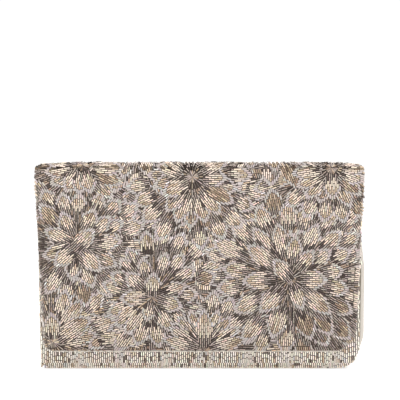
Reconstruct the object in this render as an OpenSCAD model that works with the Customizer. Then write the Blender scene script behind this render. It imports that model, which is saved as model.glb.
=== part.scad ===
// Beaded evening clutch purse with a full fold-over flap.
//
// The purse stands on its base: X runs across it, its front faces -Y and Z is up.
// Every panel is a stack of thin layers, counted inwards from the bead faces:
// beads, beaded cloth, foam, board and lining. The flap and the top fold swing
// on two fold lines at the top, and the front panel tips on one at its foot.

/* [Overall size] */
// Width across the flap at its widest, just under the top fold
bag_w = 254; // [200:1:320]
// Height from the base to the top of the fold
bag_h = 159; // [120:1:200]
// Depth of the closed purse, from the flap's beads to the back's beads
bag_d = 28; // [24:0.5:40]
// Radius of the two rounded edges of the top fold
fold_r = 8; // [6:0.5:10]

/* [Body] */
// Width of the body at its foot
body_foot_w = 246; // [190:1:316]
// Width of the body at its top
body_top_w = 251; // [194:1:318]
// Radius of the body's lower left corner, seen from the front
corner_left_r = 5; // [5:0.5:14]
// Radius of the body's lower right corner, seen from the front
corner_right_r = 13; // [5:0.5:16]
// Radius of the long edges of the base
base_r = 4.5; // [4.2:0.1:6]
// Height of the front panel's top edge, the mouth of the purse
mouth_z = 146; // [100:1:185]

/* [Flap] */
// Height of the flap's lower edge above the ground
flap_z = 13.5; // [8:0.5:40]
// Width of the flap at its lower edge
flap_foot_w = 239; // [180:1:310]
// Radius of the flap's lower left corner, seen from the front
flap_left_r = 9; // [5:0.5:25]
// Radius of the flap's lower right corner, seen from the front
flap_right_r = 18; // [5:0.5:25]
// Clear space between the flap's lining and the front panel's beads
flap_gap = 1.6; // [1.6:0.1:3]
// Width of the binding round the flap's edge
binding_w = 1; // [0.6:0.1:2]

/* [Layers] */
// Thickness of the bead embroidery
bead_t = 1.4; // [1:0.1:2]
// Thickness of the beaded cloth
cloth_t = 0.5; // [0.3:0.1:0.8]
// Thickness of the foam padding
foam_t = 0.8; // [0.5:0.1:1]
// Thickness of the stiffening board
board_t = 0.9; // [0.8:0.1:1]
// Thickness of the lining
lining_t = 0.3; // [0.2:0.1:0.4]

/* [Slip pocket] */
// Width of the slip pocket on the back lining
pocket_w = 150; // [80:1:180]
// Height of the slip pocket's lower edge above the ground
pocket_z = 16; // [10:1:40]
// Height of the slip pocket
pocket_h = 88; // [50:1:100]
// Thickness of the pocket cloth
pocket_t = 0.4; // [0.3:0.1:0.6]

/* [Magnetic snap] */
// Height of the snap's centre above the flap's lower edge
snap_up = 29; // [20:1:60]
// Radius of the snap's housing and of the stud's plate
snap_r = 7; // [5:0.5:9]
// Height of the socket housing above the front cloth
socket_h = 2.4; // [2:0.1:2.6]
// Thickness of the stud's plate
plate_t = 0.5; // [0.4:0.1:0.6]
// Radius of the stud's post
post_r = 2.2; // [1.5:0.1:2.6]
// Radial clearance of the post in the socket
post_gap = 0.6; // [0.5:0.1:0.8]
// Length of the stud's post
post_l = 1.8; // [1:0.1:1.8]
// Width of the bent prongs that hold each half
prong_w = 3; // [2:0.1:3.5]

/* [Hidden] */

$fn = 64;
big = 400;
// Depths of the layer faces below the bead face
cloth_i = bead_t;
foam_i = cloth_i + cloth_t;
board_i = foam_i + foam_t;
lining_i = board_i + board_t;
skin_t = lining_i + lining_t;
// The outer faces, front to back
flap_y = -bag_d / 2;
front_y = flap_y + skin_t + flap_gap;
back_y = bag_d / 2;
// The fold lines lie on the bead face, half way round each rounded edge
fold_cy = bag_d / 2 - fold_r;
fold_cz = bag_h - fold_r;
// The base turns up this far into the front and back panels
turn_z = base_r + 0.1;
// Play between two panels that fold against each other
fold_gap = 0.2;
// Boards and foam stop this far inside a panel's edge, and the board this far below a fold
edge_in = 2;
board_stop = 1.5;
front_foot_z = turn_z + fold_gap;
snap_z = flap_z + snap_up;
front_face_y = front_y + cloth_i;
flap_inner_y = flap_y + skin_t;
washer_t = 0.4;
prong_t = 0.4;
slot_gap = 0.2;
stitch_w = 1.5;
thread_gap = 0.4;

BEADS = [0.66, 0.60, 0.55];
CLOTH = [0.72, 0.68, 0.63];
FOAM = [0.93, 0.92, 0.88];
BOARD = [0.55, 0.50, 0.42];
LINING = [0.80, 0.76, 0.70];
SATIN = [0.76, 0.76, 0.70];
THREAD = [0.88, 0.85, 0.82];
STEEL = [0.75, 0.74, 0.72];
MAGNET = [0.35, 0.35, 0.37];

// ---- Outlines seen from the front, as X and Z ----

module body_outline(inset = 0) {
    hull() {
        translate([-body_foot_w / 2 + corner_left_r, corner_left_r])
            circle(r = corner_left_r - inset);
        translate([body_foot_w / 2 - corner_right_r, corner_right_r])
            circle(r = corner_right_r - inset);
        translate([-body_top_w / 2 + inset, bag_h])
            square([body_top_w - 2 * inset, 1]);
    }
}

module flap_outline(inset = 0) {
    hull() {
        translate([-flap_foot_w / 2 + flap_left_r, flap_z + flap_left_r])
            circle(r = flap_left_r - inset);
        translate([flap_foot_w / 2 - flap_right_r, flap_z + flap_right_r])
            circle(r = flap_right_r - inset);
        translate([-bag_w / 2 + inset, fold_cz])
            square([bag_w - 2 * inset, fold_r + 1]);
    }
}

// ---- Sections seen from the side, as Y and Z ----

// Inside of the flap, top fold and back, at a depth below the bead face
module wrap_section(inset) {
    translate([-bag_d / 2 + inset, -10])
        square([bag_d - 2 * inset, fold_cz + 10]);
    translate([-fold_cy, fold_cz - 1])
        square([2 * fold_cy, fold_r - inset + 1]);
    for (side = [-1, 1])
        translate([side * fold_cy, fold_cz])
            circle(r = fold_r - inset);
}

// Inside of the body's foot, at a depth below the bead face
module foot_section(inset) {
    translate([front_y + inset, base_r])
        square([back_y - front_y - 2 * inset, bag_h]);
    translate([front_y + base_r, inset])
        square([back_y - front_y - 2 * base_r, base_r]);
    for (y = [front_y + base_r, back_y - base_r])
        translate([y, base_r])
            circle(r = base_r - inset);
}

module wrap_layer(inset, t) {
    difference() {
        wrap_section(inset);
        wrap_section(inset + t);
    }
}

module foot_layer(inset, t) {
    difference() {
        foot_section(inset);
        foot_section(inset + t);
    }
}

// Side of the section that the back or the flap keeps: side is 1 or -1
module panel_side(side, foot) {
    polygon([[side * fold_cy, foot], [side * fold_cy, fold_cz],
             [side * (fold_cy + 2 * fold_r), fold_cz + 2 * fold_r],
             [side * (bag_d + 2 * fold_r), foot]]);
}

// Part of the section between the two fold lines, a hair's play inside them
module top_side() {
    translate([0, fold_gap])
        polygon([[-fold_cy, fold_cz], [fold_cy, fold_cz],
                 [fold_cy + 2 * fold_r, fold_cz + 2 * fold_r],
                 [-fold_cy - 2 * fold_r, fold_cz + 2 * fold_r]]);
}

// ---- Extrusions ----

// A side section drawn across the purse
module across(w) {
    rotate([90, 0, 90])
        linear_extrude(height = w, center = true)
            children();
}

// A front outline drawn from depth y0 to y1
module through(y0, y1) {
    translate([0, y1, 0])
        rotate([90, 0, 0])
            linear_extrude(height = y1 - y0)
                children();
}

// A slab between two heights
module band(z0, z1) {
    translate([-big / 2, -big / 2, z0])
        cube([big, big, z1 - z0]);
}

// ---- Holes for the snap ----

// The snap's centre line, with +Z of its children pointing into the purse
module at_snap(y) {
    translate([0, y, snap_z])
        rotate([-90, 0, 0])
            children();
}

module prongs(len, gap = 0) {
    for (side = [-1, 1])
        translate([side * snap_r / 2 - prong_t / 2 - gap, -prong_w / 2 - gap, 0])
            cube([prong_t + 2 * gap, prong_w + 2 * gap, len]);
}

// ---- Panels ----

module flap_wrap(inset, t, edge) {
    intersection() {
        across(big)
            intersection() {
                wrap_layer(inset, t);
                panel_side(-1, -5);
            }
        through(-bag_d, 0)
            flap_outline(edge);
    }
}

module flap_plate(inset, t) {
    intersection() {
        through(flap_y + inset, flap_y + inset + t)
            flap_outline(binding_w + edge_in);
        band(0, fold_cz - board_stop);
    }
}

module top_wrap(inset, t, edge) {
    across(body_top_w - 2 * edge)
        intersection() {
            wrap_layer(inset, t);
            top_side();
        }
}

module back_wrap(inset, t, edge) {
    intersection() {
        across(big)
            intersection() {
                wrap_layer(inset, t);
                panel_side(1, turn_z);
            }
        through(0, bag_d)
            body_outline(edge);
    }
}

module front_plate(inset, t, edge) {
    intersection() {
        through(front_y + inset, front_y + inset + t)
            body_outline(edge);
        band(front_foot_z, mouth_z);
    }
}

module base_wrap(inset, t, edge) {
    intersection() {
        across(big)
            intersection() {
                foot_layer(inset, t);
                translate([-bag_d, -1])
                    square([2 * bag_d, turn_z + 1]);
            }
        through(-bag_d, bag_d)
            body_outline(edge);
    }
}

// ---- Flap ----

module flap_beads() {
    color(BEADS)
        flap_wrap(0, bead_t, 0.8 * binding_w);
}

module flap_cloth() {
    color(CLOTH)
        flap_wrap(cloth_i, cloth_t, binding_w);
}

module flap_foam() {
    color(FOAM)
        difference() {
            flap_plate(foam_i, foam_t);
            at_snap(flap_y + board_i - washer_t)
                cylinder(r = snap_r + slot_gap, h = washer_t);
        }
}

module flap_board() {
    color(BOARD)
        difference() {
            flap_plate(board_i, board_t);
            at_snap(flap_y + foam_i)
                prongs(board_t + foam_t, slot_gap);
        }
}

module flap_lining() {
    color(LINING)
        difference() {
            flap_wrap(lining_i, lining_t, binding_w);
            at_snap(flap_y + board_i)
                prongs(board_t + lining_t + 1, slot_gap);
        }
}

// The light line along the flap's edge: it wraps the edges of the cloth and the lining
module flap_binding() {
    color(THREAD)
        intersection() {
            through(flap_y + cloth_i, flap_inner_y)
                difference() {
                    flap_outline(0);
                    flap_outline(binding_w);
                }
            band(0, fold_cz - board_stop);
        }
}

// ---- Top fold ----

module top_beads() {
    color(BEADS)
        top_wrap(0, bead_t, 0);
}

module top_cloth() {
    color(CLOTH)
        top_wrap(cloth_i, cloth_t, 0.5);
}

module top_foam() {
    color(FOAM)
        top_wrap(foam_i, lining_i - foam_i, edge_in);
}

module top_lining() {
    color(LINING)
        top_wrap(lining_i, lining_t, 0.5);
}

// ---- Back ----

module back_beads() {
    color(BEADS)
        back_wrap(0, bead_t, 0);
}

module back_cloth() {
    color(CLOTH)
        back_wrap(cloth_i, cloth_t, 0.5);
}

module back_foam() {
    color(FOAM)
        intersection() {
            through(back_y - board_i, back_y - foam_i)
                body_outline(edge_in);
            band(turn_z, fold_cz - board_stop);
        }
}

module back_board() {
    color(BOARD)
        intersection() {
            through(back_y - lining_i, back_y - board_i)
                body_outline(edge_in);
            band(turn_z, fold_cz - board_stop);
        }
}

module back_lining() {
    color(LINING)
        back_wrap(lining_i, lining_t, 0.5);
}

// ---- Base ----

module base_beads() {
    color(BEADS)
        base_wrap(0, bead_t, 0);
}

module base_cloth() {
    color(CLOTH)
        base_wrap(cloth_i, cloth_t, 0.5);
}

module base_board() {
    color(BOARD)
        translate([-body_foot_w / 2 + corner_left_r, front_y + base_r, foam_i])
            cube([body_foot_w - corner_left_r - corner_right_r,
                  back_y - front_y - 2 * base_r, lining_i - foam_i]);
}

module base_lining() {
    color(LINING)
        base_wrap(lining_i, lining_t, 0.5);
}

// ---- Front ----

module front_beads() {
    color(BEADS)
        difference() {
            front_plate(0, bead_t, 0);
            at_snap(front_y - 1)
                cylinder(r = snap_r + 0.3, h = bead_t + 2);
        }
}

module front_cloth() {
    color(CLOTH)
        difference() {
            front_plate(cloth_i, cloth_t, 0.5);
            at_snap(front_y)
                prongs(skin_t, slot_gap);
        }
}

module front_foam() {
    color(FOAM)
        difference() {
            front_plate(foam_i, foam_t, edge_in);
            at_snap(front_y)
                prongs(skin_t, slot_gap);
        }
}

module front_board() {
    color(BOARD)
        difference() {
            front_plate(board_i, board_t, edge_in);
            at_snap(front_y)
                prongs(skin_t, slot_gap);
            at_snap(front_y + lining_i - washer_t)
                cylinder(r = snap_r + slot_gap, h = washer_t + 1);
        }
}

module front_lining() {
    color(LINING)
        front_plate(lining_i, lining_t, 0.5);
}

// Folded strip over the front panel's top edge
module mouth_binding() {
    w = body_foot_w - 6;
    color(THREAD)
        union() {
            translate([-w / 2, front_face_y, mouth_z])
                cube([w, skin_t - cloth_i + 0.4, 1]);
            translate([-w / 2, front_y + skin_t, mouth_z - 4])
                cube([w, 0.4, 5]);
        }
}

// ---- Gussets ----

module side_band(side, inset, t) {
    intersection() {
        through(front_y + skin_t, back_y - skin_t)
            difference() {
                body_outline(inset);
                body_outline(inset + t);
            }
        band(skin_t, mouth_z);
        translate([side > 0 ? 0 : -big, -big / 2, 0])
            cube([big, big, big]);
    }
}

module gusset_left() {
    color(SATIN)
        side_band(-1, 0.4, cloth_t);
}

module gusset_right() {
    color(SATIN)
        side_band(1, 0.4, cloth_t);
}

module gusset_lining_left() {
    color(LINING)
        side_band(-1, 0.4 + cloth_t, lining_t);
}

module gusset_lining_right() {
    color(LINING)
        side_band(1, 0.4 + cloth_t, lining_t);
}

// ---- Slip pocket on the back lining ----

module slip_pocket() {
    depth = pocket_t + thread_gap;
    color(LINING)
        difference() {
            translate([-pocket_w / 2, back_y - skin_t - depth, pocket_z])
                cube([pocket_w, depth, pocket_h]);
            translate([-pocket_w / 2 + stitch_w, back_y - skin_t - thread_gap, pocket_z + stitch_w])
                cube([pocket_w - 2 * stitch_w, 1, pocket_h]);
        }
}

module pocket_binding() {
    color(THREAD)
        translate([-pocket_w / 2, back_y - skin_t - 2 * pocket_t - thread_gap, pocket_z + pocket_h - 5])
            cube([pocket_w, pocket_t, 5]);
}

// ---- Magnetic snap ----

// Stud: a flat plate on the flap's lining, its post and two prongs through the flap
module snap_stud() {
    color(STEEL)
        union() {
            at_snap(flap_inner_y)
                cylinder(r = snap_r, h = plate_t);
            at_snap(flap_inner_y)
                cylinder(r = post_r, h = plate_t + post_l);
            at_snap(flap_y + board_i - washer_t)
                prongs(board_t + lining_t + washer_t + plate_t);
        }
}

module snap_stud_washer() {
    color(STEEL)
        at_snap(flap_y + board_i - washer_t)
            difference() {
                cylinder(r = snap_r, h = washer_t);
                translate([0, 0, -1])
                    prongs(washer_t + 2, 0.05);
            }
}

// Socket: a round housing with a hole for the post, hollow behind for the magnet
module snap_socket() {
    wall = 0.4;
    color(STEEL)
        difference() {
            union() {
                at_snap(front_face_y - socket_h)
                    cylinder(r = snap_r, h = socket_h);
                at_snap(front_face_y - 0.1)
                    prongs(lining_i - cloth_i + 0.1);
            }
            at_snap(front_face_y - socket_h - 1)
                cylinder(r = post_r + post_gap, h = socket_h + 0.8);
            at_snap(front_face_y - socket_h + wall)
                cylinder(r = snap_r - 2 * wall, h = socket_h - 2 * wall);
        }
}

module snap_magnet() {
    wall = 0.45;
    color(MAGNET)
        at_snap(front_face_y - socket_h + wall)
            difference() {
                cylinder(r = snap_r - 0.9, h = socket_h - 2 * wall);
                translate([0, 0, -1])
                    cylinder(r = post_r + post_gap + 0.2, h = socket_h + 2);
            }
}

module snap_socket_washer() {
    color(STEEL)
        at_snap(front_y + lining_i - washer_t)
            difference() {
                cylinder(r = snap_r, h = washer_t);
                translate([0, 0, -1])
                    prongs(washer_t + 2, 0.05);
            }
}

flap_beads();
flap_cloth();
flap_foam();
flap_board();
flap_lining();
flap_binding();
top_beads();
top_cloth();
top_foam();
top_lining();
back_beads();
back_cloth();
back_foam();
back_board();
back_lining();
base_beads();
base_cloth();
base_board();
base_lining();
front_beads();
front_cloth();
front_foam();
front_board();
front_lining();
mouth_binding();
gusset_left();
gusset_right();
gusset_lining_left();
gusset_lining_right();
slip_pocket();
pocket_binding();
snap_stud();
snap_stud_washer();
snap_socket();
snap_magnet();
snap_socket_washer();
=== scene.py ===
"""A beaded flap clutch purse: beads, cloth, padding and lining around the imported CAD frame, in metres.

The beaded cloth of the real purse is one strip: up the flap, over the top fold, down the back, under the base
and up the front panel. Here it has two coordinates: x, across the purse, and v, the length along the strip
from the flap's lower edge. strip() turns them into a place in space, so cloth, lining and beads all agree.
"""
import math

import bpy
import numpy as np
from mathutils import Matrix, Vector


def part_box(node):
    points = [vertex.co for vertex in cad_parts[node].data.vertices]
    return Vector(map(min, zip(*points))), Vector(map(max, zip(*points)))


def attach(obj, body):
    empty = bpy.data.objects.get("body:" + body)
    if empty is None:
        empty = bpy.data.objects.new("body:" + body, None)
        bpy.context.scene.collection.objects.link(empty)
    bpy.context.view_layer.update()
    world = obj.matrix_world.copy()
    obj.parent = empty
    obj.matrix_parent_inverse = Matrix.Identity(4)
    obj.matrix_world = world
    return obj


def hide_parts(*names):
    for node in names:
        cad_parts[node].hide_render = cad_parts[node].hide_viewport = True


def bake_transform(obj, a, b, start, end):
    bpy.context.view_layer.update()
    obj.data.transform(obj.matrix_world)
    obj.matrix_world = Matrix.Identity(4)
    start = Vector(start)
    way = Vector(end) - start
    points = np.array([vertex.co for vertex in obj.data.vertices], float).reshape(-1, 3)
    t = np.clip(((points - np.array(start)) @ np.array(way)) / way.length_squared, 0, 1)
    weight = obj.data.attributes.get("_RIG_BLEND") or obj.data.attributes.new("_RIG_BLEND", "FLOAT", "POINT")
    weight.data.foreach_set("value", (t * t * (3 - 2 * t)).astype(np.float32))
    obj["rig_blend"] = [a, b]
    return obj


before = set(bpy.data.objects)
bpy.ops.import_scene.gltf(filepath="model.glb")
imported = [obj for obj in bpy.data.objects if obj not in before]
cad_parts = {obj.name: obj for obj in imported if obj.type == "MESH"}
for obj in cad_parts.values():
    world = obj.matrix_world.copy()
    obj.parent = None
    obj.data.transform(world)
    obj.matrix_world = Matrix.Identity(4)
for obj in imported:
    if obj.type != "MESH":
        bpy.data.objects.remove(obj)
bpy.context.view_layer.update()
MM = 0.001
rng = np.random.default_rng(11)

# ---- Sizes, from the frame ----
FLAP_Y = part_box("flap_beads")[0][1]
BACK_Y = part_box("back_beads")[1][1]
FRONT_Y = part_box("front_beads")[0][1]
TOP_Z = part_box("top_beads")[1][2]
FLAP_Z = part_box("flap_binding")[0][2]
MOUTH_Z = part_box("front_lining")[1][2]
BEAD_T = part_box("front_beads")[1][1] - FRONT_Y
CLOTH_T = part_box("front_cloth")[1][1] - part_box("front_cloth")[0][1]
LINING_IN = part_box("front_lining")[0][1] - FRONT_Y
SKIN_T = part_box("front_lining")[1][1] - FRONT_Y
PAD_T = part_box("front_foam")[1][1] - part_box("front_cloth")[0][1]
FLAP_TOP_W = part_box("flap_binding")[1][0] * 2
BODY_TOP_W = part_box("top_beads")[1][0] * 2

# Radii and widths that the frame's boxes don't say, as in the CAD
FOLD_R = 8 * MM
BASE_R = 4.5 * MM
FLAP_FOOT_W = 239 * MM
BODY_FOOT_W = 246 * MM
FLAP_CORNERS = (9 * MM, 18 * MM)
BODY_CORNERS = (5 * MM, 16 * MM)
TOP_CORNER = 4.5 * MM
# The soft ends of the top fold hang down: how far, over what width, and down to what height below the top
DROOP, DROOP_W, DROOP_H = 1.6 * MM, 40 * MM, 45 * MM
# How far the left edge of the flap, and of the rest, is drawn in by its stitches
LEFT_EASE = (0.8 * MM, 1.0 * MM)

# ---- The strip's path, seen from the side ----
FOLD_Y = BACK_Y - FOLD_R
FOLD_Z = TOP_Z - FOLD_R
QUARTER = math.pi / 2
# Each stretch: its length, its start, its heading, and for an arc the radius it turns on towards the inside
PATH = [
    ("flap", FOLD_Z - FLAP_Z, (FLAP_Y, FLAP_Z), (0, 1), 0),
    ("front_fold", FOLD_R * QUARTER, (FLAP_Y, FOLD_Z), (0, 1), FOLD_R),
    ("top", 2 * FOLD_Y, (-FOLD_Y, TOP_Z), (1, 0), 0),
    ("back_fold", FOLD_R * QUARTER, (FOLD_Y, TOP_Z), (1, 0), FOLD_R),
    ("back", FOLD_Z - BASE_R, (BACK_Y, FOLD_Z), (0, -1), 0),
    ("back_foot", BASE_R * QUARTER, (BACK_Y, BASE_R), (0, -1), BASE_R),
    ("base", BACK_Y - FRONT_Y - 2 * BASE_R, (BACK_Y - BASE_R, 0), (-1, 0), 0),
    ("front_foot", BASE_R * QUARTER, (FRONT_Y + BASE_R, 0), (-1, 0), BASE_R),
    ("front", MOUTH_Z - BASE_R, (FRONT_Y, BASE_R), (0, 1), 0),
]
STARTS = np.cumsum([0] + [p[1] for p in PATH])
START = {p[0]: s for p, s in zip(PATH, STARTS)}
STRIP_L = STARTS[-1]
# The middle of the top fold: the flap's pieces end here and the back's begin
V_TOP = START["top"] + PATH[2][1] / 2


def path(v):
    """The strip's place in the side view at v, as (y, z), and the normal out of the purse."""
    v = np.asarray(v, float)
    place, normal = np.zeros(v.shape + (2,)), np.zeros(v.shape + (2,))
    which = np.clip(np.searchsorted(STARTS, v, side="right") - 1, 0, len(PATH) - 1)
    for k, (_, _, start, heading, radius) in enumerate(PATH):
        on = which == k
        s = (v[on] - STARTS[k])[:, None]
        along, out = np.array(heading), np.array((-heading[1], heading[0]))
        if radius:
            turn = s / radius
            n = out * np.cos(turn) + along * np.sin(turn)
            place[on] = np.array(start) - out * radius + n * radius
            normal[on] = n
        else:
            place[on] = np.array(start) + along * s
            normal[on] = out
    return place, normal


def corner(height, foot, radius):
    """How far a rounded lower corner cuts in at a height above the foot."""
    h = np.clip(np.asarray(height, float) - foot, 0, radius)
    return radius - np.sqrt(np.maximum(radius**2 - (radius - h) ** 2, 0))


def edges(v):
    """The strip's left and right edge at v."""
    v = np.asarray(v, float)
    z = path(v)[0][..., 1]
    on_flap = v <= V_TOP
    rise = np.clip((z - FLAP_Z) / (FOLD_Z - FLAP_Z), 0, 1)
    flap = FLAP_FOOT_W + (FLAP_TOP_W - FLAP_FOOT_W) * rise
    body = BODY_FOOT_W + (BODY_TOP_W - BODY_FOOT_W) * np.clip(z / TOP_Z, 0, 1)
    over = np.clip((v - START["front_fold"]) / (V_TOP - START["front_fold"]), 0, 1)
    flap = flap * (1 - over) + BODY_TOP_W * over
    cut_left, cut_right = [
        np.where(on_flap, corner(z, FLAP_Z, FLAP_CORNERS[k]), corner(z, 0, BODY_CORNERS[k]))
        for k in (0, 1)
    ]
    half = np.where(on_flap, flap, body) / 2 - corner(TOP_Z - z, 0, TOP_CORNER)
    return -half + cut_left + np.where(on_flap, *LEFT_EASE), half - cut_right


# How far the padding lifts the cloth, at rows of v and shares of the width: flat until plump() fills it in
LIFT_V = np.array([0.0, STRIP_L])
LIFT = np.zeros((2, 2))


def puff(v, x):
    """How far padding lifts the cloth at a point, between the nearest values of LIFT."""
    left, right = edges(v)
    u = np.clip((x - left) / np.maximum(right - left, 1e-6), 0, 1)
    i, j = u * (LIFT.shape[1] - 1), np.interp(v, LIFT_V, np.arange(len(LIFT_V)))
    i0, j0 = np.minimum(i.astype(int), LIFT.shape[1] - 2), np.minimum(j.astype(int), LIFT.shape[0] - 2)
    a, b = i - i0, j - j0
    low = LIFT[j0, i0] * (1 - a) + LIFT[j0, i0 + 1] * a
    high = LIFT[j0 + 1, i0] * (1 - a) + LIFT[j0 + 1, i0 + 1] * a
    return low * (1 - b) + high * b


def droop(x, v, z):
    """How far the soft ends of the top fold hang down."""
    left, right = edges(v)
    side = np.clip(1 - np.minimum(x - left, right - x) / DROOP_W, 0, 1.05)
    high = np.clip((z - (TOP_Z - DROOP_H)) / DROOP_H, 0, 1)
    return DROOP * side**2.5 * high**2 * (v < START["back_foot"])


def strip(x, v, depth=0.0, padded=True):
    """The point at x and v, at a depth below the bead face, and the normal there."""
    x, v = np.broadcast_arrays(np.asarray(x, float), np.asarray(v, float))
    place, normal = path(v)
    off = -depth + (puff(v, x) if padded else 0)
    z = place[..., 1] + normal[..., 1] * off
    p = np.stack([x, place[..., 0] + normal[..., 0] * off, z - droop(x, v, z)], -1)
    n = np.stack([np.zeros_like(x), normal[..., 0], normal[..., 1]], -1)
    return p, n


# ---- Meshes ----

def unit(vectors):
    return vectors / np.linalg.norm(vectors, axis=1, keepdims=True)


def link(obj):
    bpy.context.scene.collection.objects.link(obj)
    return obj


def add_object(name, verts, faces, smooth=True):
    mesh = bpy.data.meshes.new(name)
    mesh.from_pydata([tuple(p) for p in verts], [], faces)
    mesh.validate()
    mesh.polygons.foreach_set("use_smooth", [smooth] * len(mesh.polygons))
    return link(bpy.data.objects.new(name, mesh))


def loft(name, rings):
    """A closed body through rings of points that all have the same number of points."""
    n = len(rings[0])
    faces = [
        (i * n + j, i * n + (j + 1) % n, (i + 1) * n + (j + 1) % n, (i + 1) * n + j)
        for i in range(len(rings) - 1) for j in range(n)
    ]
    faces += [tuple(range(n))[::-1], tuple((len(rings) - 1) * n + j for j in range(n))]
    return add_object(name, [p for ring in rings for p in ring], faces)


def grid_faces(at):
    """The four corners of each cell of a grid of point numbers."""
    return np.stack([at[:-1, :-1], at[:-1, 1:], at[1:, 1:], at[1:, :-1]], -1).reshape(-1, 4)


def shell(name, outer, inner):
    """A closed skin between two grids of points of the same shape."""
    rows, cols = outer.shape[:2]
    verts = np.concatenate([outer.reshape(-1, 3), inner.reshape(-1, 3)])
    at = np.arange(rows * cols).reshape(rows, cols)
    top = grid_faces(at)
    low = top[:, ::-1] + rows * cols
    rim = np.concatenate([at[0, :], at[1:, -1], at[-1, -2::-1], at[-2:0:-1, 0]])
    nxt = np.roll(rim, -1)
    side = np.stack([nxt, rim, rim + rows * cols, nxt + rows * cols], -1)
    return add_object(name, verts, np.concatenate([top, low, side]).tolist())


def spread(rows, u, inset=0.0):
    """Points over the rows of v at shares u of the strip's width: x and v."""
    left, right = edges(rows)
    x = (left + inset)[:, None] * (1 - u) + (right - inset)[:, None] * u
    return x, np.broadcast_to(rows[:, None], x.shape)


def grid(v0, v1, inset):
    """Rows of x and v over the strip from v0 to v1, closer together near rounded corners."""
    rows = np.linspace(v0, v1, max(3, int(round((v1 - v0) / (3 * MM))) + 1))
    marks = [s for s in STARTS if v0 < s < v1]
    near = [FLAP_CORNERS[1] * (1 - math.cos(a)) for a in np.linspace(0, QUARTER, 9)]
    rows = np.unique(np.concatenate([rows, marks] + [[r] for r in near if v0 <= r <= v1]))
    return spread(rows, np.linspace(0, 1, 72), inset)


# ---- The embroidery's design, in millimetres on the strip ----
# A petal is (direction in degrees, base, tip, width): base and tip are distances from the flower's centre.

ROSE_RIGHT = [
    (130, -2, 20, 11), (142, 12, 42, 12.5), (126, 22, 49, 11), (103, 16, 44, 12), (82, 10, 34, 11),
    (63, 20, 48, 11.5), (50, 9, 29, 10.5), (35, 18, 39, 11), (358, 8, 29, 13), (183, 11, 37, 12.5),
    (228, 8, 35, 13), (253, 22, 48, 13), (292, 6, 26, 10), (319, 11, 42, 12), (171, 33, 53, 11.5),
    (162, 48, 69, 11), (154, 36, 66, 13), (135, 40, 64, 12), (144, 54, 75, 11), (114, 38, 62, 11.5),
    (92, 37, 60, 12), (77, 38, 60, 11.5), (102, 50, 71, 12), (84, 54, 73, 10.5), (68, 49, 70, 11.5),
    (57, 42, 64, 11), (46, 55, 76, 12), (43, 32, 54, 11.5), (33, 44, 64, 10.5), (25, 33, 52, 11),
    (9, 26, 42, 10.5), (349, 27, 46, 12.5), (331, 34, 55, 12), (315, 42, 66, 13), (307, 29, 54, 13),
    (289, 23, 50, 13), (266, 35, 58, 13), (246, 43, 63, 11), (233, 37, 60, 12.5), (211, 24, 50, 13),
    (205, 42, 71, 14), (188, 37, 57, 13), (179, 50, 65, 11), (220, 45, 65, 12),
]
ROSE_LEFT = [
    (45, -3, 20, 12.5), (8, 11, 36, 10.5), (42, 16, 36, 10.5), (29, 26, 42, 9.5), (64, 14, 33, 11.5),
    (112, 9, 30, 11), (150, 3, 28, 12.5), (195, 3, 27, 12), (220, 0, 22, 12.5), (262, 6, 26, 11.5),
    (316, 2, 27, 12), (293, 14, 34, 11), (336, 14, 35, 11), (105, 27, 44, 10.5), (87, 25, 43, 10.5),
    (64, 30, 46, 10.5), (120, 34, 52, 11.5), (130, 22, 44, 11), (47, 35, 50, 11), (35, 42, 58, 11),
    (19, 37, 56, 11), (1, 35, 53, 10.5), (324, 29, 49, 11.5), (306, 28, 47, 11), (280, 27, 47, 11),
    (258, 26, 45, 11), (237, 20, 43, 11.5), (20, 52, 68, 10.5), (345, 32, 50, 10.5), (72, 44, 60, 11),
]
ROSE_MIDDLE = [
    (86, 1, 20, 11), (104, 15, 32, 9.5), (72, 18, 37, 9.5), (54, 24, 42, 10), (35, 22, 41, 10.5),
    (20, 7, 29, 10.5), (5, 19, 36, 11.5), (342, 5, 25, 11.5), (346, 26, 41, 10.5), (323, 16, 33, 11.5),
    (300, 7, 30, 10.5), (278, 17, 39, 11.5), (257, 4, 19, 8.5), (252, 20, 39, 11.5), (233, 12, 35, 10),
    (217, 13, 36, 11.5), (181, 5, 25, 11.5), (200, 16, 37, 11), (136, 10, 28, 10.5), (164, 20, 40, 11.5),
    (149, 20, 37, 10.5), (129, 23, 39, 10), (116, 24, 43, 10.5), (95, 33, 52, 11), (80, 37, 56, 10.5),
    (64, 38, 56, 10.5), (108, 43, 60, 10.5), (123, 42, 60, 10.5), (47, 41, 60, 10.5), (138, 38, 56, 10.5),
    (151, 42, 60, 11), (20, 37, 53, 10.5), (357, 35, 51, 10.5), (334, 34, 50, 10.5), (311, 32, 49, 10.5),
    (290, 35, 47, 10.5), (236, 33, 50, 10.5), (209, 35, 55, 11.5), (190, 35, 53, 11), (176, 46, 62, 10.5),
]
ROSE_CROWN = [
    (212, 5, 27, 12.5), (233, 10, 34, 11.5), (251, 14, 38, 11.5), (268, 16, 40, 11.5), (286, 14, 37, 12),
    (306, 12, 36, 12), (327, 12, 38, 11.5), (358, 8, 27, 11.5), (2, 27, 46, 11), (344, 18, 36, 11),
    (193, 8, 31, 12), (178, 14, 35, 11), (160, 8, 30, 12), (140, 8, 31, 12), (118, 8, 30, 12),
    (97, 8, 32, 12), (76, 8, 31, 12), (54, 8, 32, 12), (30, 8, 31, 12), (222, 33, 52, 11.5),
    (241, 37, 56, 11.5), (259, 40, 58, 11.5), (277, 38, 57, 11.5), (297, 36, 54, 11.5), (314, 37, 55, 11.5),
    (332, 36, 53, 11.5), (205, 31, 50, 11.5), (190, 33, 52, 11.5),
]
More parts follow.
